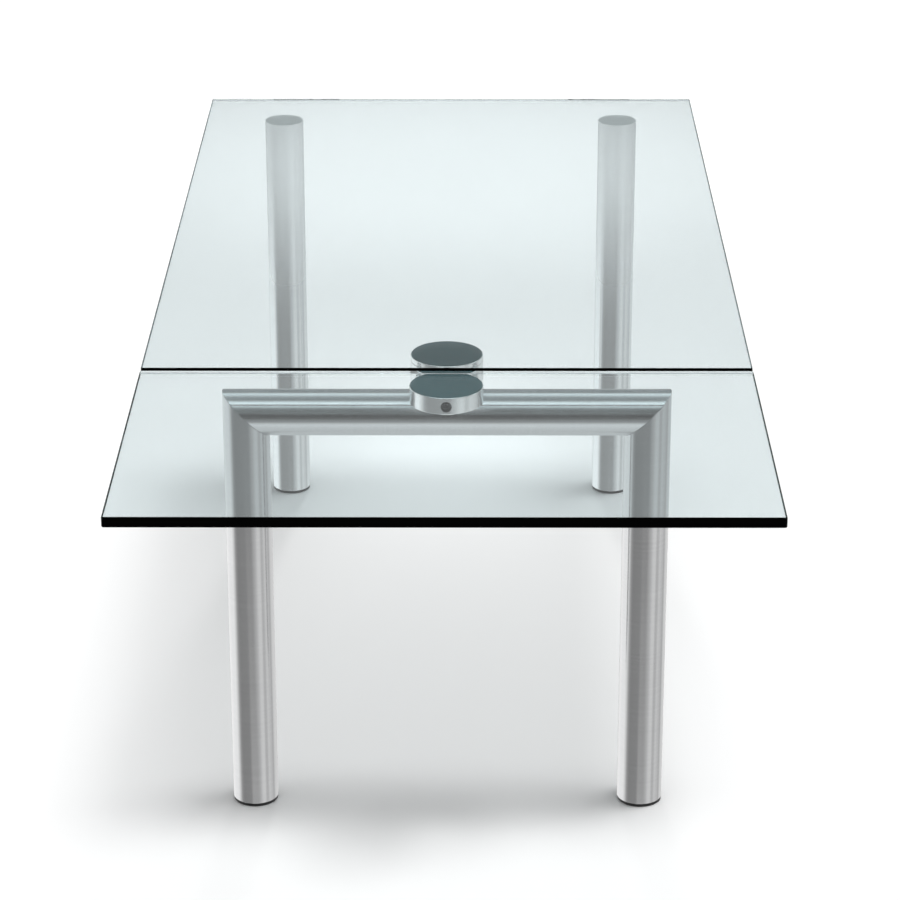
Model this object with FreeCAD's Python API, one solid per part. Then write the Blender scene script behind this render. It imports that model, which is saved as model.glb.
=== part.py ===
import FreeCAD, Part
import math
import os

from FreeCAD import Vector

# Extendable glass dining table. Millimetres, +Z up, the leaf towards -Y, origin on the floor
# under the middle of the extended table.

# Glass
top_width = 900.0
main_length = 1445.0
leaf_length = 545.0
seam_gap = 10.0
table_height = 750.0
glass_thickness = 15.0
glass_arris = 1.5
glass_corner = 4.0
bond_film = 1.0

# Tubes of the legs and the crossbar
tube_diameter = 70.0
tube_wall = 3.0
rear_leg_spacing = 616.0
rear_leg_inset = 130.0
portal_leg_spacing = 604.0
plug_clearance = 0.1

# Leg caps, foot plugs and foot pads
cap_thickness = 8.0
cap_spigot = 18.0
cap_bevel = 0.8
cap_film_margin = 2.0
plug_thickness = 16.0
pad_thickness = 5.0
pad_margin = 0.5
pad_stem_diameter = 10.0
pad_stem_length = 12.0
stem_clearance = 0.05

# Hubs under the seam
hub_diameter = 108.0
hub_bevel = 1.0
hub_film_margin = 1.5
flange_thickness = 8.0
leaf_hub_height = 25.0
leaf_hub_clearance = 1.0
main_hub_setback = 21.0

# Spindle, its socket and its fasteners
spindle_diameter = 40.0
spindle_socket_share = 0.6
spindle_neck_diameter = 16.0
spindle_neck_length = 5.0
core_length = 130.0
spindle_bolt_diameter = 12.0
spindle_bolt_grip = 24.0
spindle_bolt_web = 10.0
bolt_head_diameter = 18.0
bolt_head_height = 12.0
bolt_access_diameter = 22.0
through_hole_clearance = 0.5
thread_run_out = 1.0
flange_screw_diameter = 5.0
flange_screw_head = 10.0
flange_screw_length = 20.0
flange_screw_key = 3.0
flange_key_depth = 2.0
flange_screw_circle = 28.0
flange_screw_count = 3
fastener_clearance = 0.05
register_clearance = 0.05

# Collar and arm that carry the leaf
stow_clearance = 2.5
collar_height = 31.0
collar_top_gap = 0.5
collar_bottom_gap = 1.0
bush_wall = 3.0
bush_clamp_gap = 0.5
running_clearance = 0.05
arm_width = 50.0
arm_thickness = 12.0
clamp_diameter = 6.0
clamp_pad_length = 4.0
clamp_screw_length = 20.0
clamp_key = 3.0
clamp_key_depth = 3.0

# Spigot that the leaf hangs on
spigot_diameter = 40.0
spigot_height = 20.0
spigot_head_room = 0.5
spigot_screw_diameter = 8.0
spigot_screw_length = 20.0
spigot_screw_head = 13.0
spigot_screw_head_height = 6.0
spigot_screw_sink = 1.0

# Screw that locks the leaf on its spigot
set_screw_diameter = 10.0
set_screw_length = 20.0
set_screw_height = 11.5
set_screw_tip_gap = 0.2
screw_access_diameter = 16.0
screw_access_depth = 10.0
key_width = 5.0
key_depth = 5.0

# Places along the table
front_y = -(main_length + seam_gap + leaf_length) / 2
leaf_rear_y = front_y + leaf_length
main_front_y = leaf_rear_y + seam_gap
main_rear_y = main_front_y + main_length
rear_leg_y = main_rear_y - rear_leg_inset
portal_y = main_front_y + main_hub_setback + hub_diameter / 2
leaf_hub_y = main_front_y - leaf_hub_clearance - hub_diameter / 2

# Heights
glass_bottom = table_height - glass_thickness
bond_bottom = glass_bottom - bond_film
flange_bottom = bond_bottom - flange_thickness
cap_bottom = bond_bottom - cap_thickness
leaf_hub_bottom = bond_bottom - leaf_hub_height
leaf_drop = glass_thickness + stow_clearance
collar_top = flange_bottom - collar_top_gap
collar_bottom = collar_top - collar_height
bush_height = (collar_height - clamp_diameter) / 2 - bush_clamp_gap
crossbar_top = collar_bottom - leaf_drop - collar_bottom_gap
crossbar_axis = crossbar_top - tube_diameter / 2
crossbar_bottom = crossbar_top - tube_diameter
arm_top = leaf_hub_bottom
arm_bottom = arm_top - arm_thickness
socket_floor = crossbar_top - spindle_socket_share * tube_diameter
set_screw_z = leaf_hub_bottom + set_screw_height
clamp_z = (collar_top + collar_bottom) / 2
bolt_seat = socket_floor - spindle_bolt_web
spigot_screw_seat = arm_bottom + spigot_screw_head_height + spigot_screw_sink
tube_bore = tube_diameter - 2 * tube_wall
plug_diameter = tube_bore - 2 * plug_clearance

up = Vector(0, 0, 1)
rightward = Vector(1, 0, 0)
rearward = Vector(0, 1, 0)


def save(name, shape):
    shape.exportStep(os.path.join("parts", name + ".step"))


def cylinder(diameter, length, start, direction=up):
    return Part.makeCylinder(diameter / 2, length, start, direction)


def disc(diameter, bottom, top, x, y):
    return cylinder(diameter, top - bottom, Vector(x, y, bottom))


def bevelled_disc(diameter, bottom, top, x, y, bevel):
    solid = disc(diameter, bottom, top, x, y)
    rims = [e for e in solid.Edges if isinstance(e.Curve, Part.Circle)]
    return solid.makeChamfer(bevel, rims)


def ring(outer, inner, bottom, top, x, y):
    return disc(outer, bottom, top, x, y).cut(disc(inner, bottom, top, x, y))


def hexagon_socket(across_flats, depth, start, direction):
    radius = across_flats / math.sqrt(3)
    side = Vector(direction.z, direction.x, direction.y)
    other = direction.cross(side)
    corners = []
    for step in range(7):
        turn = math.radians(60 * step)
        corners.append(start + side * (radius * math.cos(turn)) + other * (radius * math.sin(turn)))
    face = Part.Face(Part.makePolygon(corners))
    return face.extrude(direction * depth)


def socket_cap_screw(diameter, length, head, head_height, seat, direction):
    """A screw whose head starts at seat and stands against direction, with the shank along it."""
    shank = cylinder(diameter, length, seat, direction)
    top = seat - direction * head_height
    screw = cylinder(head, head_height, top, direction).fuse(shank)
    return screw.cut(hexagon_socket(diameter * 0.8, head_height * 0.5, top, direction)).removeSplitter()


def glass_plate(front, rear):
    corner = Vector(-top_width / 2, front, glass_bottom)
    plate = Part.makeBox(top_width, rear - front, glass_thickness, corner)
    upright = [e for e in plate.Edges if e.BoundBox.ZLength > glass_thickness / 2]
    plate = plate.makeFillet(glass_corner, upright)
    rims = [e for e in plate.Edges if e.BoundBox.ZLength < glass_thickness / 2]
    return plate.makeChamfer(glass_arris, rims)


def upright_tube(x, y, bottom, top):
    return ring(tube_diameter, tube_bore, bottom, top, x, y)


def make_glass():
    save("main_top_glass", glass_plate(main_front_y, main_rear_y))
    save("leaf_glass", glass_plate(front_y, leaf_rear_y))


def foot(name, x, y):
    plug = disc(plug_diameter, pad_thickness, pad_thickness + plug_thickness, x, y)
    stem_hole = pad_stem_diameter + 2 * stem_clearance
    plug = plug.cut(disc(stem_hole, pad_thickness, pad_thickness + plug_thickness, x, y))
    save(name.replace("foot", "foot_plug"), plug)
    pad = disc(tube_diameter - 2 * pad_margin, 0, pad_thickness, x, y)
    stem = disc(pad_stem_diameter, pad_thickness, pad_thickness + pad_stem_length, x, y)
    save(name.replace("foot", "foot_pad"), pad.fuse(stem).removeSplitter())


def make_rear_legs():
    for side, x in (("left", -rear_leg_spacing / 2), ("right", rear_leg_spacing / 2)):
        save("rear_leg_" + side, upright_tube(x, rear_leg_y, pad_thickness, cap_bottom))
        plate = bevelled_disc(tube_diameter, cap_bottom, bond_bottom, x, rear_leg_y, cap_bevel)
        spigot = disc(plug_diameter, cap_bottom - cap_spigot, cap_bottom, x, rear_leg_y)
        save("rear_leg_cap_" + side, plate.fuse(spigot).removeSplitter())
        film = disc(tube_diameter - 2 * cap_film_margin, bond_bottom, glass_bottom, x, rear_leg_y)
        save("rear_bond_film_" + side, film)
        foot("rear_foot_" + side, x, rear_leg_y)


def mitre_wedge(x, outward, inner_side):
    """The half of space beyond the 45 degree mitre at one corner of the portal."""
    reach = tube_diameter
    corner = Vector(x, portal_y - tube_diameter, crossbar_axis)
    outer = corner + Vector(outward * reach, 0, reach)
    inner = corner - Vector(outward * reach, 0, reach)
    third = corner + Vector(-outward * reach, 0, reach)
    if not inner_side:
        third = corner + Vector(outward * reach, 0, -reach)
    face = Part.Face(Part.makePolygon([outer, inner, third, outer]))
    return face.extrude(Vector(0, 2 * tube_diameter, 0))


def make_portal():
    half = portal_leg_spacing / 2
    length = portal_leg_spacing + tube_diameter
    start = Vector(-length / 2, portal_y, crossbar_axis)
    crossbar = cylinder(tube_diameter, length, start, rightward)
    crossbar = crossbar.cut(cylinder(tube_bore, length, start, rightward))
    for side, outward in (("left", -1), ("right", 1)):
        leg = upright_tube(outward * half, portal_y, pad_thickness, crossbar_top)
        save("portal_leg_" + side, leg.cut(mitre_wedge(outward * half, outward, True)))
        crossbar = crossbar.cut(mitre_wedge(outward * half, outward, False))
        foot("portal_foot_" + side, outward * half, portal_y)
    socket = spindle_diameter + 2 * register_clearance
    spindle_hole = disc(socket, crossbar_axis, crossbar_top, 0, portal_y)
    access = disc(bolt_access_diameter, crossbar_bottom, crossbar_axis, 0, portal_y)
    save("portal_crossbar", crossbar.cut(spindle_hole).cut(access))


def make_core_and_bolt():
    start = Vector(-core_length / 2, portal_y, crossbar_axis)
    core = cylinder(plug_diameter, core_length, start, rightward)
    core = core.cut(disc(spindle_diameter + 2 * register_clearance, socket_floor, crossbar_top, 0, portal_y))
    head_hole = bolt_head_diameter + 2 * through_hole_clearance
    core = core.cut(disc(head_hole, crossbar_bottom, bolt_seat, 0, portal_y))
    bolt_hole = spindle_bolt_diameter + 2 * through_hole_clearance
    core = core.cut(disc(bolt_hole, bolt_seat, socket_floor, 0, portal_y))
    save("crossbar_core", core)
    bolt = socket_cap_screw(
        spindle_bolt_diameter, spindle_bolt_web + spindle_bolt_grip, bolt_head_diameter, bolt_head_height,
        Vector(0, portal_y, bolt_seat), up,
    )
    save("spindle_bolt", bolt)


def flange_screw_places():
    places = []
    for index in range(flange_screw_count):
        turn = math.radians(90 + 360 * index / flange_screw_count)
        radius = flange_screw_circle / 2
        places.append((radius * math.cos(turn), portal_y + radius * math.sin(turn)))
    return places


def flange_screw(x, y, grow):
    """One countersunk screw, or its hole when it is grown by the clearance."""
    radius = flange_screw_diameter / 2 + grow
    head = flange_screw_head / 2 + grow
    cone_height = head - radius
    shank = Part.makeCylinder(radius, flange_screw_length + grow, Vector(x, y, bond_bottom), -up)
    cone = Part.makeCone(radius, head, cone_height, Vector(x, y, bond_bottom - cone_height))
    return shank.fuse(cone).removeSplitter()


def make_main_hub():
    spindle = disc(spindle_diameter, socket_floor, flange_bottom, 0, portal_y)
    neck = disc(spindle_neck_diameter, flange_bottom, flange_bottom + spindle_neck_length, 0, portal_y)
    spindle = spindle.fuse(neck).removeSplitter()
    tapped = spindle_bolt_diameter + 2 * fastener_clearance
    tapped_top = socket_floor + spindle_bolt_grip + thread_run_out
    spindle = spindle.cut(disc(tapped, socket_floor, tapped_top, 0, portal_y))
    flange = bevelled_disc(hub_diameter, flange_bottom, bond_bottom, 0, portal_y, hub_bevel)
    neck_hole = spindle_neck_diameter + 2 * register_clearance
    flange = flange.cut(disc(neck_hole, flange_bottom, flange_bottom + spindle_neck_length, 0, portal_y))
    screws = []
    for x, y in flange_screw_places():
        hole = flange_screw(x, y, fastener_clearance)
        spindle = spindle.cut(hole)
        flange = flange.cut(hole)
        key = hexagon_socket(flange_screw_key, flange_key_depth, Vector(x, y, bond_bottom), -up)
        screws.append(flange_screw(x, y, 0).cut(key))
    save("hub_spindle", spindle)
    save("main_hub_flange", flange)
    save("flange_screws", Part.makeCompound(screws))
    film = disc(hub_diameter - 2 * hub_film_margin, bond_bottom, glass_bottom, 0, portal_y)
    save("main_hub_bond_film", film)


def make_arm():
    collar = bevelled_disc(hub_diameter, collar_bottom, collar_top, 0, portal_y, hub_bevel)
    plate = Part.makeBox(arm_width, portal_y - leaf_hub_y, arm_thickness,
                         Vector(-arm_width / 2, leaf_hub_y, arm_bottom))
    plate = plate.fuse(disc(arm_width, arm_bottom, arm_top, 0, leaf_hub_y))
    arm = collar.fuse(plate).removeSplitter()
    bush_outer = spindle_diameter + 2 * running_clearance + 2 * bush_wall
    arm = arm.cut(disc(bush_outer, collar_bottom, collar_top, 0, portal_y))
    tip = Vector(-hub_diameter / 2, portal_y, clamp_z)
    hole = clamp_diameter + 2 * fastener_clearance
    arm = arm.cut(cylinder(hole, hub_diameter / 2, tip, rightward))
    spigot_hole = spigot_screw_diameter + 2 * fastener_clearance
    arm = arm.cut(disc(spigot_hole, arm_bottom, arm_top, 0, leaf_hub_y))
    head_hole = spigot_screw_head + 2 * through_hole_clearance
    arm = arm.cut(disc(head_hole, arm_bottom, spigot_screw_seat, 0, leaf_hub_y))
    save("swing_arm", arm)
    inner = spindle_diameter + 2 * running_clearance
    save("collar_bush_upper", ring(bush_outer, inner, collar_top - bush_height, collar_top, 0, portal_y))
    lower_top = collar_bottom + bush_height
    save("collar_bush_lower", ring(bush_outer, inner, collar_bottom, lower_top, 0, portal_y))
    pad_tip = -(spindle_diameter / 2 + running_clearance)
    pad_start = Vector(pad_tip - clamp_pad_length, portal_y, clamp_z)
    pad = cylinder(clamp_diameter, 2 * clamp_pad_length, pad_start, rightward)
    pad = pad.cut(disc(inner, collar_bottom, collar_top, 0, portal_y))
    save("clamp_pad", pad)
    screw_start = pad_start - rightward * clamp_screw_length
    screw = cylinder(clamp_diameter, clamp_screw_length, screw_start, rightward)
    save("clamp_screw", screw.cut(hexagon_socket(clamp_key, clamp_key_depth, screw_start, rightward)))


def make_spigot():
    spigot = disc(spigot_diameter, arm_top, arm_top + spigot_height, 0, leaf_hub_y)
    tapped = spigot_screw_diameter + 2 * fastener_clearance
    tapped_top = spigot_screw_seat + spigot_screw_length + thread_run_out
    spigot = spigot.cut(disc(tapped, arm_top, min(tapped_top, arm_top + spigot_height), 0, leaf_hub_y))
    save("arm_spigot", spigot)
    screw = socket_cap_screw(
        spigot_screw_diameter, spigot_screw_length, spigot_screw_head, spigot_screw_head_height,
        Vector(0, leaf_hub_y, spigot_screw_seat), up,
    )
    save("spigot_screw", screw)


def make_leaf_hub():
    hub = bevelled_disc(hub_diameter, leaf_hub_bottom, bond_bottom, 0, leaf_hub_y, hub_bevel)
    bore_top = leaf_hub_bottom + spigot_height + spigot_head_room
    bore = spigot_diameter + 2 * running_clearance
    hub = hub.cut(disc(bore, leaf_hub_bottom, bore_top, 0, leaf_hub_y))
    face = Vector(0, leaf_hub_y - hub_diameter / 2, set_screw_z)
    hub = hub.cut(cylinder(set_screw_diameter + 2 * running_clearance, hub_diameter / 2, face, rearward))
    hub = hub.cut(cylinder(screw_access_diameter, screw_access_depth, face, rearward))
    save("leaf_hub", hub)
    film = disc(hub_diameter - 2 * hub_film_margin, bond_bottom, glass_bottom, 0, leaf_hub_y)
    beyond = Part.makeBox(hub_diameter, hub_diameter, bond_film,
                          Vector(-hub_diameter / 2, leaf_rear_y - hub_film_margin, bond_bottom))
    save("leaf_hub_bond_film", film.cut(beyond))
    tip_y = leaf_hub_y - spigot_diameter / 2 - set_screw_tip_gap
    start = Vector(0, tip_y - set_screw_length, set_screw_z)
    screw = cylinder(set_screw_diameter, set_screw_length, start, rearward)
    save("leaf_set_screw", screw.cut(hexagon_socket(key_width, key_depth, start, rearward)))


os.makedirs("parts", exist_ok=True)
make_glass()
make_rear_legs()
make_portal()
make_core_and_bolt()
make_main_hub()
make_arm()
make_spigot()
make_leaf_hub()
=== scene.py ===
import math

import bmesh
import bpy
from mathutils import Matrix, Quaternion, Vector


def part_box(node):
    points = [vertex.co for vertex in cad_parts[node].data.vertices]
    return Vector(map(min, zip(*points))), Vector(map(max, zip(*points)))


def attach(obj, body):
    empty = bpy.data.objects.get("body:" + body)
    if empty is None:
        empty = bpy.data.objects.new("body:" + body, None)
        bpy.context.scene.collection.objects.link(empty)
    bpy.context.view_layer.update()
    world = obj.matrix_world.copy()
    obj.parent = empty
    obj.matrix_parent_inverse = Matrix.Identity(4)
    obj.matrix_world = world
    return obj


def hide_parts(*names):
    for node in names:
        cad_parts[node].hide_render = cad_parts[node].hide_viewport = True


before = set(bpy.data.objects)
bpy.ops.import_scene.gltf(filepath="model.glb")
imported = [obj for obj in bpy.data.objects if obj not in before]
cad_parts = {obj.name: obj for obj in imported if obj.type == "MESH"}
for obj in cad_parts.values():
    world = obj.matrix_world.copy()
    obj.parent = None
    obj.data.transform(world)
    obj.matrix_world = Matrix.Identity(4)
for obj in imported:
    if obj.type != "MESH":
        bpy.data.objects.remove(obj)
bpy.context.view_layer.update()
print("frame loaded:", len(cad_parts), "CAD nodes")


def dropSelection():
    if bpy.context.mode != "OBJECT":
        bpy.ops.object.mode_set(mode="OBJECT")
    bpy.ops.object.select_all(action="DESELECT")


def takeUp(piece):
    dropSelection()
    bpy.context.view_layer.objects.active = piece
    piece.select_set(True)


def openForEdit(piece):
    takeUp(piece)
    bpy.ops.object.mode_set(mode="EDIT")
    bpy.ops.mesh.select_all(action="DESELECT")


def pickEdges(piece, test):
    mesh = bmesh.from_edit_mesh(piece.data)
    bpy.ops.mesh.select_mode(type="EDGE")
    for edge in mesh.edges:
        a, b = (corner.co for corner in edge.verts)
        edge.select_set(test(a, b))
    bmesh.update_edit_mesh(piece.data)


def pickFaces(piece, test):
    mesh = bmesh.from_edit_mesh(piece.data)
    bpy.ops.mesh.select_mode(type="FACE")
    for face in mesh.faces:
        face.select_set(test(face.calc_center_median(), face.normal))
    bmesh.update_edit_mesh(piece.data)


def closeEdit():
    bpy.ops.object.mode_set(mode="OBJECT")


def fixPlace(piece):
    takeUp(piece)
    bpy.ops.object.transform_apply(location=True, rotation=True, scale=True)


def addRound(name, radius, start, end, sides=128, hollow=False):
    # a round bar or an open pipe between two points on its axis
    start, end = Vector(start), Vector(end)
    dropSelection()
    bpy.ops.mesh.primitive_cylinder_add(
        vertices=sides, radius=radius, depth=(end - start).length, location=(start + end) / 2,
        rotation=(end - start).to_track_quat("Z", "Y").to_euler(),
        end_fill_type="NOTHING" if hollow else "NGON",
    )
    piece = bpy.context.object
    piece.name = name
    fixPlace(piece)
    return piece


def addBlock(name, low, high):
    low, high = Vector(low), Vector(high)
    dropSelection()
    bpy.ops.mesh.primitive_cube_add(size=1, location=(low + high) / 2, scale=high - low)
    piece = bpy.context.object
    piece.name = name
    fixPlace(piece)
    return piece


def applyModifier(piece, kind, **values):
    takeUp(piece)
    modifier = piece.modifiers.new(kind.lower(), kind)
    for key, value in values.items():
        setattr(modifier, key, value)
    bpy.ops.object.modifier_apply(modifier=modifier.name)


def combine(piece, other, operation):
    applyModifier(piece, "BOOLEAN", operation=operation, object=other, solver="EXACT")
    bpy.data.objects.remove(other, do_unlink=True)


def drill(piece, radius, start, end, sides=64):
    combine(piece, addRound("drill", radius, start, end, sides), "DIFFERENCE")


def softenEdges(piece, width, segments=2, angle=35):
    # only edges sharper than the angle, in degrees, are rounded
    applyModifier(
        piece, "BEVEL", width=width, segments=segments, limit_method="ANGLE",
        angle_limit=math.radians(angle), harden_normals=False,
    )


def centreOf(node):
    low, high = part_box(node)
    return (low + high) / 2


def finishPiece(piece, body, material, node, smooth=12):
    # edges blunter than the smooth angle, in degrees, are shaded as one curve
    openForEdit(piece)
    bpy.ops.mesh.select_all(action="SELECT")
    bpy.ops.mesh.remove_doubles(threshold=1e-6)
    bpy.ops.mesh.normals_make_consistent(inside=False)
    closeEdit()
    if smooth:
        bpy.ops.object.shade_smooth_by_angle(angle=math.radians(smooth))
    if not piece.data.materials:
        piece.data.materials.append(material)
    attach(piece, body)
    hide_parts(node)


def copyPiece(piece, name, shift):
    takeUp(piece)
    bpy.ops.object.duplicate(linked=False)
    made = bpy.context.object
    made.name = name
    made.location = shift
    fixPlace(made)
    return made


def finishWithCopies(piece, node, others, material):
    # the piece was modelled at its node, and each copy goes to a node of its own
    shapes = {node: piece}
    for name, other in others.items():
        shapes[other] = copyPiece(piece, name, centreOf(other) - centreOf(node))
    for place, shape in shapes.items():
        finishPiece(shape, "table", material, place)


def addNode(tree, kind, **values):
    # a value goes to the node's property of that name, or else to its input socket
    made = tree.nodes.new(kind)
    for key, value in values.items():
        if hasattr(made, key):
            setattr(made, key, value)
        else:
            made.inputs[key.replace("_", " ")].default_value = value
    return made


def calc(tree, operation, a, b=0.0):
    made = tree.nodes.new("ShaderNodeMath")
    made.operation = operation
    for socket, value in zip(made.inputs, (a, b)):
        if isinstance(value, (int, float)):
            socket.default_value = value
        else:
            tree.links.new(value, socket)
    return made.outputs[0]


def easeBetween(tree, value, **limits):
    made = addNode(tree, "ShaderNodeMapRange", interpolation_type="SMOOTHSTEP", **limits)
    tree.links.new(value, made.inputs["Value"])
    return made.outputs["Result"]


def cloudyPattern(tree, scale, detail, roughness=0.5):
    place = tree.nodes.new("ShaderNodeTexCoord")
    pattern = addNode(tree, "ShaderNodeTexNoise", Scale=scale, Detail=detail, Roughness=roughness)
    tree.links.new(place.outputs["Object"], pattern.inputs["Vector"])
    return pattern.outputs["Fac"]


def blendTones(tree, pattern, start, firstTone, end, secondTone):
    ramp = tree.nodes.new("ShaderNodeValToRGB")
    first, second = ramp.color_ramp.elements
    first.position, second.position = start, end
    first.color, second.color = (*firstTone, 1), (*secondTone, 1)
    tree.links.new(pattern, ramp.inputs["Fac"])
    return ramp.outputs["Color"]


def newMaterial(name):
    made = bpy.data.materials.new(name)
    made.use_nodes = True
    tree = made.node_tree
    return made, tree, tree.nodes["Principled BSDF"]


def grey(level):
    return (level, level, level, 1)


# how strongly the scratches and the smudges show in the tone of every metal
grainLook = {
    "scratchDetail": 6.0, "scratchRoughness": 0.7, "scratchTint": 0.22,
    "smudgeScale": 9.0, "smudgeTint": 0.10, "bumpStrength": 0.35, "bumpDistance": 0.001,
}


def buildGrainGroup():
    # fine parallel scratches with a few soft smudges; Stretch says along which axes the scratches run
    tree = bpy.data.node_groups.new("metalGrain", "ShaderNodeTree")
    face = tree.interface
    inputs = {
        "Stretch": "NodeSocketVector", "Tone": "NodeSocketColor", "Depth": "NodeSocketFloat",
        "Base Roughness": "NodeSocketFloat", "Roughness Spread": "NodeSocketFloat",
    }
    outputs = {"Tone": "NodeSocketColor", "Roughness": "NodeSocketFloat", "Height": "NodeSocketFloat"}
    for name, kind in inputs.items():
        face.new_socket(name=name, in_out="INPUT", socket_type=kind)
    for name, kind in outputs.items():
        face.new_socket(name=name, in_out="OUTPUT", socket_type=kind)
    given = tree.nodes.new("NodeGroupInput")
    result = tree.nodes.new("NodeGroupOutput")
    place = tree.nodes.new("ShaderNodeTexCoord")
    stretched = addNode(tree, "ShaderNodeVectorMath", operation="MULTIPLY")
    tree.links.new(place.outputs["Object"], stretched.inputs[0])
    tree.links.new(given.outputs["Stretch"], stretched.inputs[1])
    scratches = addNode(
        tree, "ShaderNodeTexNoise", Scale=1.0, Detail=grainLook["scratchDetail"],
        Roughness=grainLook["scratchRoughness"],
    )
    tree.links.new(stretched.outputs[0], scratches.inputs["Vector"])
    smudges = cloudyPattern(tree, grainLook["smudgeScale"], 3.0, 0.55)
    fine = calc(tree, "SUBTRACT", scratches.outputs["Fac"], 0.5)
    broad = calc(tree, "SUBTRACT", smudges, 0.5)
    both = calc(tree, "ADD", fine, broad)
    spread = calc(tree, "MULTIPLY", both, given.outputs["Roughness Spread"])
    tree.links.new(calc(tree, "ADD", spread, given.outputs["Base Roughness"]), result.inputs["Roughness"])
    tree.links.new(calc(tree, "MULTIPLY", fine, given.outputs["Depth"]), result.inputs["Height"])
    light = calc(tree, "ADD", calc(tree, "MULTIPLY", fine, grainLook["scratchTint"]), 1.0)
    light = calc(tree, "ADD", light, calc(tree, "MULTIPLY", broad, grainLook["smudgeTint"]))
    tinted = addNode(tree, "ShaderNodeVectorMath", operation="SCALE")
    tree.links.new(given.outputs["Tone"], tinted.inputs[0])
    tree.links.new(light, tinted.inputs["Scale"])
    tree.links.new(tinted.outputs[0], result.inputs["Tone"])
    return tree


grainGroup = buildGrainGroup()


def grainedMetal(name, tone, roughness, spread, stretch, depth, aniso=0.0, axis=None):
    # with an axis, highlights are drawn out along the lines that a lathe or a belt leaves round it
    made, tree, shader = newMaterial(name)
    grain = tree.nodes.new("ShaderNodeGroup")
    grain.node_tree = grainGroup
    grain.inputs["Stretch"].default_value = stretch
    grain.inputs["Tone"].default_value = (*tone, 1)
    grain.inputs["Depth"].default_value = depth
    grain.inputs["Base Roughness"].default_value = roughness
    grain.inputs["Roughness Spread"].default_value = spread
    bump = addNode(
        tree, "ShaderNodeBump", Strength=grainLook["bumpStrength"], Distance=grainLook["bumpDistance"],
    )
    tree.links.new(grain.outputs["Height"], bump.inputs["Height"])
    tree.links.new(bump.outputs["Normal"], shader.inputs["Normal"])
    tree.links.new(grain.outputs["Tone"], shader.inputs["Base Color"])
    tree.links.new(grain.outputs["Roughness"], shader.inputs["Roughness"])
    shader.inputs["Metallic"].default_value = 1.0
    if axis:
        shader.inputs["Anisotropic"].default_value = aniso
        shader.inputs["Anisotropic Rotation"].default_value = 0.25
        around = addNode(tree, "ShaderNodeTangent", direction_type="RADIAL", axis=axis)
        tree.links.new(around.outputs[0], shader.inputs["Tangent"])
    return made


steelLook = {
    # the rear tone is painted light: a much lighter copy of the same steel, for the rear legs and their
    # caps
    "tone": (0.65, 0.655, 0.66), "rearPaintedLightTone": (0.96, 0.965, 0.97), "spread": 0.06, "depth": 0.05,
    "cross": (0.20, 0.85), "upright": (0.155, 0.60),  # roughness, and how far highlights are drawn out
    "grainAlong": 8, "grainAcross": 900,
    "paintedLightFrom": 0.25, "paintedLightTo": 0.72, "paintedLightLeast": 0.15,  # heights in metres, and Metallic at the top
}


def satinTube(name, axis, tone=steelLook["tone"]):
    # the scratches of the grinding belt run round the tube
    along, across = steelLook["grainAlong"], steelLook["grainAcross"]
    stretch = (across, along, along) if axis == "X" else (along, along, across)
    roughness, aniso = steelLook["cross"] if axis == "X" else steelLook["upright"]
    spread, depth = steelLook["spread"], steelLook["depth"]
    return grainedMetal(name, tone, roughness, spread, stretch, depth, aniso, axis)


def paintLightUpwards(material):
    # painted light: less mirror-like and so lighter towards the top, standing in for the light the tube
    # catches through the glass
    tree = material.node_tree
    place = tree.nodes.new("ShaderNodeTexCoord")
    parts = tree.nodes.new("ShaderNodeSeparateXYZ")
    tree.links.new(place.outputs["Object"], parts.inputs[0])
    paintedTop = easeBetween(
        tree, parts.outputs["Z"], From_Min=steelLook["paintedLightFrom"], From_Max=steelLook["paintedLightTo"],
        To_Min=1.0, To_Max=steelLook["paintedLightLeast"],
    )
    tree.links.new(paintedTop, tree.nodes["Principled BSDF"].inputs["Metallic"])


uprightSteel = satinTube("uprightSatinSteel", "Z")
crossSteel = satinTube("crossSatinSteel", "X")
# painted light: the rear legs and caps get a lighter copy of the satin steel, and it is lighter still
# towards the top
rearPaintedLightSteel = satinTube("rearSatinSteelPaintedLight", "Z", steelLook["rearPaintedLightTone"])
paintLightUpwards(rearPaintedLightSteel)

# tone, roughness, its spread, the stretch of the grain and its depth
turnedSide = grainedMetal("turnedSteel", (0.98, 0.985, 0.985), 0.20, 0.08, (8, 8, 1400), 0.08, 0.6, "Z")
# painted sheen: the caps' top faces are nearly matte and near white, standing in for the bright reflection
# of turned steel
turnedFacePaintedSheen = grainedMetal("turnedFaceSteelPaintedSheen", (0.98, 0.98, 0.98), 0.55, 0.06, (60, 60, 60), 0.05, 0.7, "Z")
turnedFacePaintedSheen.node_tree.nodes["Principled BSDF"].inputs["Metallic"].default_value = 0.12
plainSteel = grainedMetal("sawnSteel", (0.42, 0.42, 0.43), 0.38, 0.15, (90, 90, 90), 0.10)
blackScrew = grainedMetal("blackenedScrew", (0.055, 0.06, 0.065), 0.36, 0.12, (260, 260, 260), 0.05)
# painted shade for the screw's access hole in the leaf hub, a darker copy of the steel
paintedHoleShade = grainedMetal("screwHoleSteelPaintedShade", (0.16, 0.18, 0.185), 0.5, 0.1, (260, 260, 260), 0.05)
bronzeBush = grainedMetal("bronzeBush", (0.60, 0.38, 0.17), 0.33, 0.12, (40, 40, 900), 0.06)

glassLook = {
    "tone": (0.83, 0.915, 0.93), "cloud": 0.985, "ior": 1.52,
    "mainShade": (0.70, 0.705, 0.705), "leafShade": (0.95, 0.955, 0.955),  # light that reaches the floor
    "leafEdge": (0.003, 0.008, 0.008), "mainEdge": (0.10, 0.14, 0.15), "edgeShade": (0.3, 0.33, 0.33),
    "edgeRoughness": 0.03, "edgeIor": 1.12,
    "bond": (0.97, 0.98, 0.98), "bondIor": 1.03,
}


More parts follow.
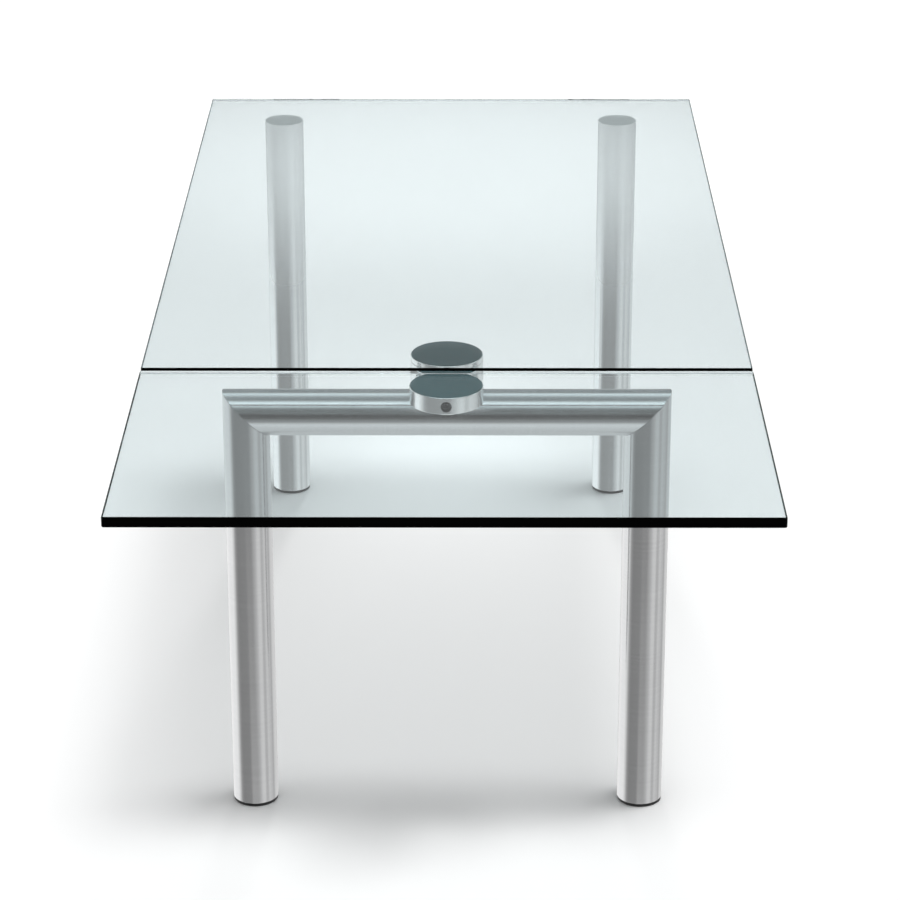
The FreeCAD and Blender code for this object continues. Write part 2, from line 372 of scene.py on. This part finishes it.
def glassWithSoftShadow(name, tone, shade, roughness, ior):
    # clear to the eye, and its shadow stays pale and soft
    made, tree, shader = newMaterial(name)
    clouded = [part * glassLook["cloud"] for part in tone]
    colour = blendTones(tree, cloudyPattern(tree, 3.0, 2.0), 0.3, clouded, 0.7, tone)
    tree.links.new(colour, shader.inputs["Base Color"])
    shader.inputs["Roughness"].default_value = roughness
    shader.inputs["IOR"].default_value = ior
    shader.inputs["Transmission Weight"].default_value = 1.0
    clear = addNode(tree, "ShaderNodeBsdfTransparent", Color=(*shade, 1))
    path = tree.nodes.new("ShaderNodeLightPath")
    choice = tree.nodes.new("ShaderNodeMixShader")
    tree.links.new(path.outputs["Is Shadow Ray"], choice.inputs["Fac"])
    tree.links.new(shader.outputs[0], choice.inputs[1])
    tree.links.new(clear.outputs[0], choice.inputs[2])
    tree.links.new(choice.outputs[0], tree.nodes["Material Output"].inputs["Surface"])
    return made


def polishedGlass(name, shade):
    return glassWithSoftShadow(name, glassLook["tone"], shade, 0.0, glassLook["ior"])


def glassEdge(name, tone):
    return glassWithSoftShadow(
        name, tone, glassLook["edgeShade"], glassLook["edgeRoughness"], glassLook["edgeIor"],
    )


mainGlass = polishedGlass("mainGlass", glassLook["mainShade"])
leafGlass = polishedGlass("leafGlass", glassLook["leafShade"])
leafEdge = glassEdge("leafGlassEdge", glassLook["leafEdge"])
mainEdge = glassEdge("mainGlassEdge", glassLook["mainEdge"])
bond = glassLook["bond"]
clearBond = glassWithSoftShadow("clearBond", bond, bond, 0.0, glassLook["bondIor"])


def speckledPlastic(name, darkTone, lightTone, roughness, scale, bumpDepth):
    made, tree, shader = newMaterial(name)
    speck = cloudyPattern(tree, scale, 4.0, 0.6)
    colour = blendTones(tree, speck, 0.35, darkTone, 0.65, lightTone)
    tree.links.new(colour, shader.inputs["Base Color"])
    rough = calc(tree, "ADD", calc(tree, "MULTIPLY", speck, 0.15), roughness - 0.07)
    tree.links.new(rough, shader.inputs["Roughness"])
    bump = addNode(tree, "ShaderNodeBump", Strength=bumpDepth, Distance=0.0005)
    tree.links.new(speck, bump.inputs["Height"])
    tree.links.new(bump.outputs["Normal"], shader.inputs["Normal"])
    return made


darkBond = speckledPlastic("darkBondFilm", (0.022, 0.088, 0.100), (0.027, 0.100, 0.113), 0.45, 120, 0.02)
darkBond.node_tree.nodes["Principled BSDF"].inputs["Specular IOR Level"].default_value = 0.0
groundArris = speckledPlastic("groundGlassArris", (0.80, 0.88, 0.89), (0.88, 0.95, 0.96), 0.6, 300, 0.05)
padPlastic = speckledPlastic("footPadPlastic", (0.006,) * 3, (0.016,) * 3, 0.55, 900, 0.25)
print("finishes made:", len(bpy.data.materials))


plateShape = {"arris": 0.0016, "corner": 0.004, "cornerSegments": 6}


def buildPlate(name, node, body, glass, edge):
    low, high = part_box(node)
    thickness = high.z - low.z
    plate = addBlock(name, low, high)
    openForEdit(plate)
    pickEdges(plate, lambda a, b: abs(a.z - b.z) > thickness / 2)
    bpy.ops.mesh.bevel(offset=plateShape["corner"], segments=plateShape["cornerSegments"])
    pickEdges(plate, lambda a, b: abs(a.z - b.z) < thickness / 2)
    bpy.ops.mesh.bevel(offset=plateShape["arris"], segments=2)
    closeEdit()
    for material in (glass, edge, groundArris):
        plate.data.materials.append(material)
    # the rear edge is clear with a ground arris, the other edges have the edge's own tone
    for face in plate.data.polygons:
        flat = abs(face.normal.z) > 0.97
        sloping = abs(face.normal.z) > 0.2
        atRear = face.normal.y > 0.2
        if flat or (atRear and not sloping):
            face.material_index = 0
        else:
            face.material_index = 2 if atRear else 1
    finishPiece(plate, body, glass, node, smooth=0)


buildPlate("mainTopPlate", "main_top_glass", "table", mainGlass, mainEdge)
buildPlate("leafPlate", "leaf_glass", "leaf", leafGlass, leafEdge)
print("glass plates made")


cutMargin = 0.01  # how far a cutting shape reaches past what it cuts
fitGap = 0.00005  # room round a pin in its hole

tubeShape = {"wall": 0.003, "sides": 160, "edge": 0.0004, "boltAccess": 0.011}


def tubeRadius(node):
    low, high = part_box(node)
    return (high.y - low.y) / 2


def hollowOut(tube):
    applyModifier(tube, "SOLIDIFY", thickness=tubeShape["wall"], offset=-1, use_rim=True)
    softenEdges(tube, tubeShape["edge"], 2, 40)


def buildRearLegs():
    node = "rear_leg_left"
    low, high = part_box(node)
    centre = centreOf(node)
    leg = addRound(
        "rearLegLeft", tubeRadius(node), (centre.x, centre.y, low.z), (centre.x, centre.y, high.z),
        tubeShape["sides"], hollow=True,
    )
    hollowOut(leg)
    finishWithCopies(leg, node, {"rearLegRight": "rear_leg_right"}, rearPaintedLightSteel)


def cutAtMitre(tube, corner, normal):
    openForEdit(tube)
    bpy.ops.mesh.select_all(action="SELECT")
    bpy.ops.mesh.bisect(plane_co=corner, plane_no=normal, clear_outer=True, use_fill=False)
    closeEdit()


def portalCorner(side):
    # where the axes of one leg and of the crossbar meet
    leg = centreOf("portal_leg_" + side)
    return Vector((leg.x, leg.y, centreOf("portal_crossbar").z))


def buildPortalLeg(side, outward):
    node = "portal_leg_" + side
    low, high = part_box(node)
    corner = portalCorner(side)
    leg = addRound(
        "portalLeg" + side.title(), tubeRadius(node), (corner.x, corner.y, low.z),
        (corner.x, corner.y, high.z + cutMargin), tubeShape["sides"], hollow=True,
    )
    cutAtMitre(leg, corner, Vector((-outward, 0, 1)).normalized())
    hollowOut(leg)
    finishPiece(leg, "table", uprightSteel, node)


def buildCrossbar():
    node = "portal_crossbar"
    low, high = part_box(node)
    left, right = portalCorner("left"), portalCorner("right")
    bar = addRound(
        "portalCrossbar", tubeRadius(node), (low.x - cutMargin, left.y, left.z),
        (high.x + cutMargin, right.y, right.z), tubeShape["sides"], hollow=True,
    )
    cutAtMitre(bar, left, Vector((-1, 0, -1)).normalized())
    cutAtMitre(bar, right, Vector((1, 0, -1)).normalized())
    hollowOut(bar)
    spindleLow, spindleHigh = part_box("hub_spindle")
    spindleHole = (spindleHigh.x - spindleLow.x) / 2 + fitGap
    drill(bar, spindleHole, (0, left.y, left.z), (0, left.y, high.z + cutMargin), 96)
    drill(bar, tubeShape["boltAccess"], (0, left.y, low.z - cutMargin), (0, left.y, left.z))
    finishPiece(bar, "table", crossSteel, node)


buildRearLegs()
buildPortalLeg("left", -1)
buildPortalLeg("right", 1)
buildCrossbar()
print("legs and crossbar made")


capShape = {"bevel": 0.0008, "spigotInset": 0.0031}
padShape = {"bevel": 0.0009, "stem": 0.005}


def stepDown(piece, level, upward, inset, travel):
    # a narrower step on one end of a round piece
    openForEdit(piece)
    pickFaces(piece, lambda place, normal: abs(place.z - level) < 1e-5 and normal.z * upward > 0.9)
    bpy.ops.mesh.inset(thickness=inset)
    bpy.ops.mesh.extrude_region_move(TRANSFORM_OT_translate={"value": (0, 0, upward * travel)})
    closeEdit()


def buildCaps():
    node = "rear_leg_cap_left"
    low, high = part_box(node)
    centre = centreOf(node)
    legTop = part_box("rear_leg_left")[1].z
    cap = addRound(
        "rearLegCapLeft", (high.x - low.x) / 2, (centre.x, centre.y, legTop), (centre.x, centre.y, high.z),
    )
    stepDown(cap, legTop, -1, capShape["spigotInset"], legTop - low.z)
    softenEdges(cap, capShape["bevel"], 3, 60)
    cap.data.materials.append(rearPaintedLightSteel)
    cap.data.materials.append(turnedFacePaintedSheen)
    # the upward faces take the painted sheen, the rest the rear steel
    for face in cap.data.polygons:
        face.material_index = 1 if face.normal.z > 0.98 else 0
    finishWithCopies(cap, node, {"rearLegCapRight": "rear_leg_cap_right"}, rearPaintedLightSteel)


def buildPads():
    node = "rear_foot_pad_left"
    low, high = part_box(node)
    centre = centreOf(node)
    radius = (high.x - low.x) / 2
    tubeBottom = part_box("rear_foot_plug_left")[0].z
    pad = addRound(
        "rearFootPadLeft", radius, (centre.x, centre.y, low.z), (centre.x, centre.y, tubeBottom), 96,
    )
    stepDown(pad, tubeBottom, 1, radius - padShape["stem"], high.z - tubeBottom)
    softenEdges(pad, padShape["bevel"], 3, 60)
    others = {
        "rearFootPadRight": "rear_foot_pad_right", "portalFootPadLeft": "portal_foot_pad_left",
        "portalFootPadRight": "portal_foot_pad_right",
    }
    finishWithCopies(pad, node, others, padPlastic)


buildCaps()
buildPads()
print("caps and foot pads made")


hubShape = {
    "bevel": 0.0010, "neckHole": 0.00805, "neckDepth": 0.005,
    "accessRadius": 0.008, "accessDepth": 0.010, "screwBore": 0.00505, "boreRoom": 0.0005,
}


def buildFlange():
    node = "main_hub_flange"
    low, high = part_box(node)
    centre = centreOf(node)
    flange = addRound(
        "mainHubFlange", (high.y - low.y) / 2, (centre.x, centre.y, low.z), (centre.x, centre.y, high.z),
    )
    drill(flange, hubShape["neckHole"], (centre.x, centre.y, low.z - cutMargin),
          (centre.x, centre.y, low.z + hubShape["neckDepth"]))
    softenEdges(flange, hubShape["bevel"], 3, 60)
    finishPiece(flange, "table", turnedSide, node)


def buildLeafHub():
    node = "leaf_hub"
    low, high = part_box(node)
    centre = centreOf(node)
    radius = (high.y - low.y) / 2
    screw = centreOf("leaf_set_screw")
    hub = addRound("leafHub", radius, (centre.x, centre.y, low.z), (centre.x, centre.y, high.z), 192)
    softenEdges(hub, hubShape["bevel"], 3, 60)
    spigotLow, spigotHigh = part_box("arm_spigot")
    drill(hub, (spigotHigh.x - spigotLow.x) / 2 + fitGap, (centre.x, centre.y, low.z - cutMargin),
          (centre.x, centre.y, spigotHigh.z + hubShape["boreRoom"]), 96)
    front = centre.y - radius
    drill(hub, hubShape["accessRadius"], (centre.x, front - cutMargin, screw.z),
          (centre.x, front + hubShape["accessDepth"], screw.z))
    drill(hub, hubShape["screwBore"], (centre.x, front, screw.z), (centre.x, centre.y, screw.z))
    hub.data.materials.append(turnedSide)
    hub.data.materials.append(paintedHoleShade)
    # painted shade: the wall and floor of the screw's access are darker than the turned side round it
    for face in hub.data.polygons:
        place = face.center
        inHole = math.hypot(place.x - centre.x, place.z - screw.z) < hubShape["accessRadius"] + 0.0003
        inside = math.hypot(place.x - centre.x, place.y - centre.y) < radius - 0.0006
        nearFront = place.y < front + 2 * hubShape["accessDepth"]
        face.material_index = 1 if inHole and inside and nearFront else 0
    finishPiece(hub, "leaf", turnedSide, node)


armShape = {
    "width": 0.050, "thickness": 0.012, "clampHole": 0.00305,
    "paintedHoleShade": 0.00405, "screwSink": 0.007, "sinkHeight": 0.006,
}


def buildArm():
    node = "swing_arm"
    low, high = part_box(node)
    spigot = centreOf("arm_spigot")
    spindle = centreOf("hub_spindle")
    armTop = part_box("arm_spigot")[0].z
    armBottom = armTop - armShape["thickness"]
    half = armShape["width"] / 2
    radius = (high.x - low.x) / 2
    arm = addRound("swingArm", radius, (0, spindle.y, low.z), (0, spindle.y, high.z), 192)
    softenEdges(arm, hubShape["bevel"], 3, 60)
    plate = addBlock("armPlate", (-half, spigot.y, armBottom), (half, spindle.y, armTop))
    combine(plate, addRound("armEnd", half, (0, spigot.y, armBottom), (0, spigot.y, armTop), 96), "UNION")
    combine(arm, plate, "UNION")
    bushLow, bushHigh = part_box("collar_bush_upper")
    drill(arm, (bushHigh.x - bushLow.x) / 2, (0, spindle.y, low.z - cutMargin),
          (0, spindle.y, high.z + cutMargin), 96)
    clampLevel = centreOf("clamp_screw").z
    drill(arm, armShape["clampHole"], (-radius - cutMargin, spindle.y, clampLevel),
          (0, spindle.y, clampLevel), 48)
    drill(arm, armShape["paintedHoleShade"], (0, spigot.y, armBottom - cutMargin),
          (0, spigot.y, armTop + cutMargin), 48)
    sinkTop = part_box("spigot_screw")[0].z + armShape["sinkHeight"]
    drill(arm, armShape["screwSink"], (0, spigot.y, armBottom - cutMargin), (0, spigot.y, sinkTop), 48)
    finishPiece(arm, "leaf_arm", turnedSide, node)


screwShape = {"key": 0.0029, "keyDepth": 0.005, "edge": 0.0005}


def buildSetScrew():
    node = "leaf_set_screw"
    low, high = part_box(node)
    centre = centreOf(node)
    screw = addRound(
        "leafSetScrew", (high.x - low.x) / 2, (centre.x, low.y, centre.z), (centre.x, high.y, centre.z), 64,
    )
    drill(screw, screwShape["key"], (centre.x, low.y - cutMargin, centre.z),
          (centre.x, low.y + screwShape["keyDepth"], centre.z), 6)
    softenEdges(screw, screwShape["edge"], 2, 60)
    finishPiece(screw, "leaf_screw", blackScrew, node)


buildFlange()
buildLeafHub()
buildArm()
buildSetScrew()
print("hubs, arm and set screw made")


filmShape = {"gap": 0.00006, "edge": 0.0003}


def buildFilm(name, node, under):
    # a disc centred on the piece under it, trimmed where that piece reaches past the glass
    low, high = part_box(node)
    centre = centreOf(under)
    film = addRound(
        name, (high.x - low.x) / 2, (centre.x, centre.y, low.z + filmShape["gap"]),
        (centre.x, centre.y, high.z - filmShape["gap"]),
    )
    openForEdit(film)
    bpy.ops.mesh.select_all(action="SELECT")
    bpy.ops.mesh.bisect(plane_co=(0, high.y, 0), plane_no=(0, 1, 0), clear_outer=True, use_fill=True)
    closeEdit()
    softenEdges(film, filmShape["edge"], 2, 60)
    return film


mainFilm = buildFilm("mainHubFilm", "main_hub_bond_film", "main_hub_flange")
finishPiece(mainFilm, "table", darkBond, "main_hub_bond_film")
leafFilm = buildFilm("leafHubFilm", "leaf_hub_bond_film", "leaf_hub")
finishPiece(leafFilm, "leaf", darkBond, "leaf_hub_bond_film")
capFilm = buildFilm("rearCapFilmLeft", "rear_bond_film_left", "rear_leg_cap_left")
otherFilm = {"rearCapFilmRight": "rear_bond_film_right"}
finishWithCopies(capFilm, "rear_bond_film_left", otherFilm, clearBond)
print("bond films made")


# the inner pieces keep the frame's shapes and only get a finish
innerFinishes = [
    (turnedSide, ("hub_spindle", "arm_spigot")),
    (blackScrew, ("spindle_bolt", "flange_screws", "spigot_screw", "clamp_screw")),
    (bronzeBush, ("clamp_pad", "collar_bush_upper", "collar_bush_lower")),
    (plainSteel, ("crossbar_core", "rear_foot_plug_left", "rear_foot_plug_right",
                  "portal_foot_plug_left", "portal_foot_plug_right")),
]
for material, nodes in innerFinishes:
    for node in nodes:
        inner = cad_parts[node]
        inner.data.materials.clear()
        inner.data.materials.append(material)
print("inner pieces finished")


studio = {
    "floorTone": 0.93, "floorSize": 80, "floorLevel": -0.0004, "dome": 0.39,
    "topLight": {"power": 1.13, "angle": 17, "source": (0.03, 0.0, 1.0)},
    "rearLight": {"power": 1.36, "angle": 14, "source": (0.20, 0.06, 1.0)},
    "nearGlow": {"power": 12, "place": (0.0, 1.25, 2.6), "towards": (0.0, 1.25, 0.0), "cone": 32},
    "farGlow": {"power": 75, "place": (0.0, 3.0, 2.6), "towards": (0.0, 3.0, 0.0), "cone": 46},
    "lowGlow": {"power": 85, "place": (0.0, 2.4, 0.6), "towards": (0.0, 0.45, 0.0), "cone": 30},
    "legGlow": {"power": 200, "place": (0.0, -1.2, 0.48), "towards": (0.0, 0.87, 0.69), "cone": 24},
    # brightness of the studio as polished steel sees it, straight ahead: degrees from the rear
    # horizon over the top to the front horizon and on below it
    "overhead": [
        (-180, 0.05), (-168, 0.06), (-161, 0.32), (-153, 0.38), (-148, 0.60), (-142, 1.10), (-134, 1.30),
        (-118, 1.10), (-97, 0.90), (-70, 0.86), (-40, 0.76), (-15, 0.50), (16, 0.34), (32, 0.34),
        (45, 0.38), (53, 1.30), (61, 1.75), (69, 1.20), (80, 0.60), (97, 0.32), (104, 1.10), (112, 2.00),
        (122, 2.00), (129, 1.60), (137, 0.55), (144, 0.18), (153, 0.08), (166, 0.04), (180, 0.05),
    ],
    # the same to the sides: degrees round the table from the front, negative to the left
    "aside": [
        (-180, 0.80), (-145, 1.15), (-96, 1.15), (-84, 0.85), (-72, 0.42), (-60, 0.31), (-20, 0.33),
        (6, 0.36), (30, 0.62), (42, 0.82), (54, 0.84), (62, 0.62), (70, 0.62), (80, 0.80), (104, 0.66),
        (112, 0.55), (125, 0.85), (180, 0.80),
    ],
    "asideFrom": 0.12, "asideTo": 0.30,  # how far a direction points sideways where the sides take over
    "lowFrom": 0.02, "lowTo": -0.16,  # and how far below the horizon
}


def buildFloor():
    dropSelection()
    bpy.ops.mesh.primitive_plane_add(size=studio["floorSize"], location=(0, 0, studio["floorLevel"]))
    floor = bpy.context.object
    floor.name = "studioFloor"
    floor.visible_glossy = False
    made, tree, shader = newMaterial("floorPaper")
    cloud = calc(tree, "MULTIPLY", cloudyPattern(tree, 0.6, 2.0), 0.01)
    tree.links.new(calc(tree, "ADD", cloud, studio["floorTone"]), shader.inputs["Base Color"])
    shader.inputs["Roughness"].default_value = 1.0
    shader.inputs["Specular IOR Level"].default_value = 0.0
    floor.data.materials.append(made)


def addLight(name, kind, power, source, **values):
    data = bpy.data.lights.new(name, kind)
    data.energy = power
    for key, value in values.items():
        setattr(data, key, value)
    lamp = bpy.data.objects.new(name, data)
    bpy.context.scene.collection.objects.link(lamp)
    lamp.rotation_euler = Vector(source).to_track_quat("Z", "Y").to_euler()
    lamp.visible_glossy = False
    lamp.visible_transmission = False
    return lamp


def buildLamps():
    for name in ("topLight", "rearLight"):
        look = studio[name]
        addLight(name, "SUN", look["power"], look["source"], angle=math.radians(look["angle"]))
    for name in ("nearGlow", "farGlow", "lowGlow", "legGlow"):
        look = studio[name]
        place = Vector(look["place"])
        glow = addLight(
            name, "SPOT", look["power"], place - Vector(look["towards"]),
            spot_size=math.radians(look["cone"]), spot_blend=1.0, shadow_soft_size=0.15,
        )
        glow.location = place


def brightnessByAngle(tree, rise, run, stops):
    # the angle of a direction, from -180 to 180 degrees, read off a list of stops
    turn = calc(tree, "DIVIDE", calc(tree, "ARCTAN2", rise, run), 2 * math.pi)
    ramp = tree.nodes.new("ShaderNodeValToRGB")
    elements = ramp.color_ramp.elements
    for degrees, level in stops:
        place = degrees / 360 + 0.5
        made = elements.new(place) if 0 < place < 1 else elements[0 if place <= 0 else -1]
        made.position = place
        made.color = grey(level / 2)  # half the brightness here, doubled again by the background
    tree.links.new(calc(tree, "ADD", turn, 0.5), ramp.inputs["Fac"])
    return ramp.outputs["Color"]


def buildDome():
    world = bpy.data.worlds.new("studioDome")
    bpy.context.scene.world = world
    world.use_nodes = True
    tree = world.node_tree
    place = tree.nodes.new("ShaderNodeTexCoord")
    parts = tree.nodes.new("ShaderNodeSeparateXYZ")
    tree.links.new(place.outputs["Generated"], parts.inputs[0])
    sideways, back, up = (parts.outputs[axis] for axis in "XYZ")
    overhead = brightnessByAngle(tree, up, back, studio["overhead"])
    aside = brightnessByAngle(tree, sideways, calc(tree, "MULTIPLY", back, -1.0), studio["aside"])

    # what shining surfaces see: the sides take over for directions that point aside and down
    turned = easeBetween(
        tree, calc(tree, "ABSOLUTE", sideways), From_Min=studio["asideFrom"], From_Max=studio["asideTo"],
    )
    lowered = easeBetween(tree, up, From_Min=studio["lowFrom"], From_Max=studio["lowTo"])
    mixed = addNode(tree, "ShaderNodeMix", data_type="RGBA")
    colourIn = [socket for socket in mixed.inputs if socket.type == "RGBA"]
    colourOut = [socket for socket in mixed.outputs if socket.type == "RGBA"]
    tree.links.new(calc(tree, "MULTIPLY", turned, lowered), mixed.inputs[0])
    tree.links.new(overhead, colourIn[0])
    tree.links.new(aside, colourIn[1])
    metalLight = addNode(tree, "ShaderNodeBackground", Strength=2.0)
    tree.links.new(colourOut[0], metalLight.inputs["Color"])

    # plain white for the eye and the glass, and dimmer where it lights matt surfaces
    path = tree.nodes.new("ShaderNodeLightPath")
    shining = calc(tree, "GREATER_THAN", path.outputs["Glossy Depth"], 0.5)
    dull = calc(tree, "GREATER_THAN", path.outputs["Diffuse Depth"], 0.5)
    plainLight = tree.nodes["Background"]
    plainLight.inputs["Color"].default_value = grey(1.0)
    dimmed = calc(tree, "ADD", calc(tree, "MULTIPLY", dull, studio["dome"] - 1.0), 1.0)
    tree.links.new(dimmed, plainLight.inputs["Strength"])
    choice = tree.nodes.new("ShaderNodeMixShader")
    onlyShining = calc(tree, "MULTIPLY", shining, calc(tree, "SUBTRACT", 1.0, dull))
    tree.links.new(onlyShining, choice.inputs["Fac"])
    tree.links.new(plainLight.outputs[0], choice.inputs[1])
    tree.links.new(metalLight.outputs[0], choice.inputs[2])
    tree.links.new(choice.outputs[0], tree.nodes["World Output"].inputs["Surface"])
    world.cycles.sampling_method = "NONE"


# place in metres, angles in degrees and the lens in millimetres
cameraSetup = {
    "place": (0.02785, -4.8494, 2.40767), "yaw": -0.2978, "pitch": 22.0868, "roll": -0.0676,
    "lens": 128.074, "sensor": 36.0,
}


def buildCamera():
    data = bpy.data.cameras.new("view")
    data.lens = cameraSetup["lens"]
    data.sensor_width = cameraSetup["sensor"]
    camera = bpy.data.objects.new("view", data)
    bpy.context.scene.collection.objects.link(camera)
    yaw, pitch = math.radians(cameraSetup["yaw"]), math.radians(cameraSetup["pitch"])
    ahead = Vector((math.sin(yaw) * math.cos(pitch), math.cos(yaw) * math.cos(pitch), -math.sin(pitch)))
    tilt = Quaternion((0, 0, 1), math.radians(cameraSetup["roll"]))
    camera.location = cameraSetup["place"]
    camera.rotation_mode = "QUATERNION"
    camera.rotation_quaternion = ahead.to_track_quat("-Z", "Y") @ tilt
    bpy.context.scene.camera = camera
    bpy.context.scene.view_settings.view_transform = "Standard"


buildFloor()
buildLamps()
buildDome()
buildCamera()
print("studio and camera made")
